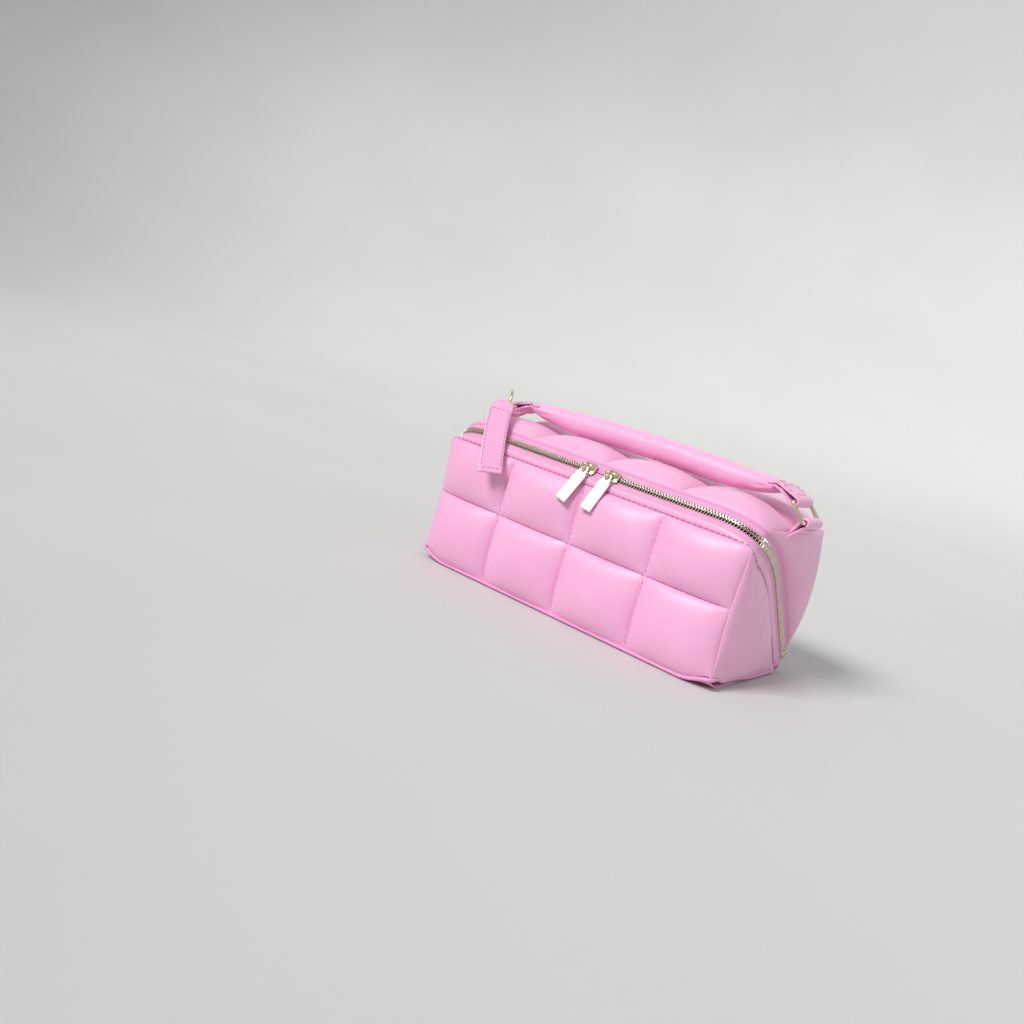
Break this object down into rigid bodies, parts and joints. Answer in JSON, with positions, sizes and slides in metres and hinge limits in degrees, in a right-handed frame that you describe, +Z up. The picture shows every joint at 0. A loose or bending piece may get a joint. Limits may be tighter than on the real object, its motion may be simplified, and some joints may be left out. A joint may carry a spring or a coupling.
{
  "type": "makeup bag",
  "caption": "Quilted box makeup bag with a wrap-round two-way zip, a hinged lid, a padded top handle on rings and a hanging tag.",
  "frame": {"origin": "centre of the flat bottom face, on the surface the bag stands on", "axes": "+X along the bag's length, -Y towards the quilted front, +Z up"},
  "size_m": [0.2801, 0.1479, 0.143],
  "materials": {
    "leather": "smooth satin, pink",
    "trim": "smooth satin, deeper pink",
    "zip_tape": "woven",
    "lining": "woven, matte",
    "foam": "soft padding",
    "board": "stiff board",
    "gold": "polished, pale gold"
  },
  "bodies": {
    "base": {"front_panel": "leather", "front_padding": "foam", "bottom_panel": "trim", "bottom_board": "board", "bottom_piping": "trim", "base_side_left": "leather", "base_side_right": "leather", "base_side_padding_left": "foam", "base_side_padding_right": "foam", "zip_facing": "leather", "zip_tape_lower": "zip_tape", "zip_teeth_lower": "gold", "base_lining": "lining", "hinge_fold": "trim", "zip_end_left": "gold", "zip_end_right": "gold"},
    "lid": {"lid_top_panel": "leather", "lid_top_padding": "foam", "back_panel": "leather", "back_padding": "foam", "lid_side_left": "leather", "lid_side_right": "leather", "lid_side_padding_left": "foam", "lid_side_padding_right": "foam", "lid_edge_binding": "leather", "zip_tape_upper": "zip_tape", "zip_teeth_upper": "gold", "lid_lining": "lining", "lid_pocket": "lining", "tab_foot_left": "leather", "tab_foot_right": "leather"},
    "handle": {"handle_tube": "leather", "handle_core": "foam", "handle_strap_left": "leather", "handle_strap_right": "leather", "handle_ring_left": "gold", "handle_ring_right": "gold", "tab_loop_left": "leather", "tab_loop_right": "leather"},
    "tag_ring": {"tag_ring": "gold"},
    "tag_link": {"tag_link": "gold"},
    "tag": {"tag_strap": "leather"},
    "slider_left": {"slider_left": "gold"},
    "slider_right": {"slider_right": "gold"},
    "link_left": {"pull_link_left": "gold"},
    "link_right": {"pull_link_right": "gold"},
    "pull_left": {"pull_plate_left": "gold"},
    "pull_right": {"pull_plate_right": "gold"}
  },
  "joints": [
    {"name": "lid_hinge", "type": "hinge", "parent": "base", "child": "lid", "pos_m": [0, 0.0585, 0.01], "axis": [-1, 0, 0], "range_deg": [0, 90]},
    {"name": "handle_swing", "type": "hinge", "parent": "lid", "child": "handle", "pos_m": [0, 0, 0.1094], "axis": [1, 0, 0], "range_deg": [-20, 0]},
    {"name": "tag_ring_swing", "type": "hinge", "parent": "handle", "child": "tag_ring", "pos_m": [-0.11713, -0.015, 0.12844], "axis": [-0.8, -0.6, 0], "range_deg": [0, 25]},
    {"name": "tag_link_swing", "type": "hinge", "parent": "tag_ring", "child": "tag_link", "pos_m": [-0.10826, -0.02682, 0.1315], "axis": [-0.8, -0.6, 0], "range_deg": [0, 10]},
    {"name": "tag_swing", "type": "hinge", "parent": "tag_link", "child": "tag", "pos_m": [-0.10479, -0.0378, 0.13242], "axis": [-0.8, -0.6, 0], "range_deg": [0, 70]},
    {"name": "slider_left_travel", "type": "slide", "parent": "base", "child": "slider_left", "axis": [-1, 0, 0], "range_m": [0, 0.045]},
    {"name": "slider_right_travel", "type": "slide", "parent": "base", "child": "slider_right", "axis": [1, 0, 0], "range_m": [0, 0.072]},
    {"name": "link_left_swing", "type": "hinge", "parent": "slider_left", "child": "link_left", "pos_m": [-0.004, -0.05766, 0.11209], "axis": [-1, 0, 0], "range_deg": [0, 80]},
    {"name": "link_right_swing", "type": "hinge", "parent": "slider_right", "child": "link_right", "pos_m": [0.016, -0.05766, 0.11209], "axis": [-1, 0, 0], "range_deg": [0, 80]},
    {"name": "pull_left_swing", "type": "hinge", "parent": "link_left", "child": "pull_left", "pos_m": [-0.004, -0.05906, 0.10888], "axis": [0, 0.9166, -0.3998], "range_deg": [-12, 25]},
    {"name": "pull_right_swing", "type": "hinge", "parent": "link_right", "child": "pull_right", "pos_m": [0.016, -0.05906, 0.10888], "axis": [0, -0.9166, 0.3998], "range_deg": [-3, 35]}
  ]
}
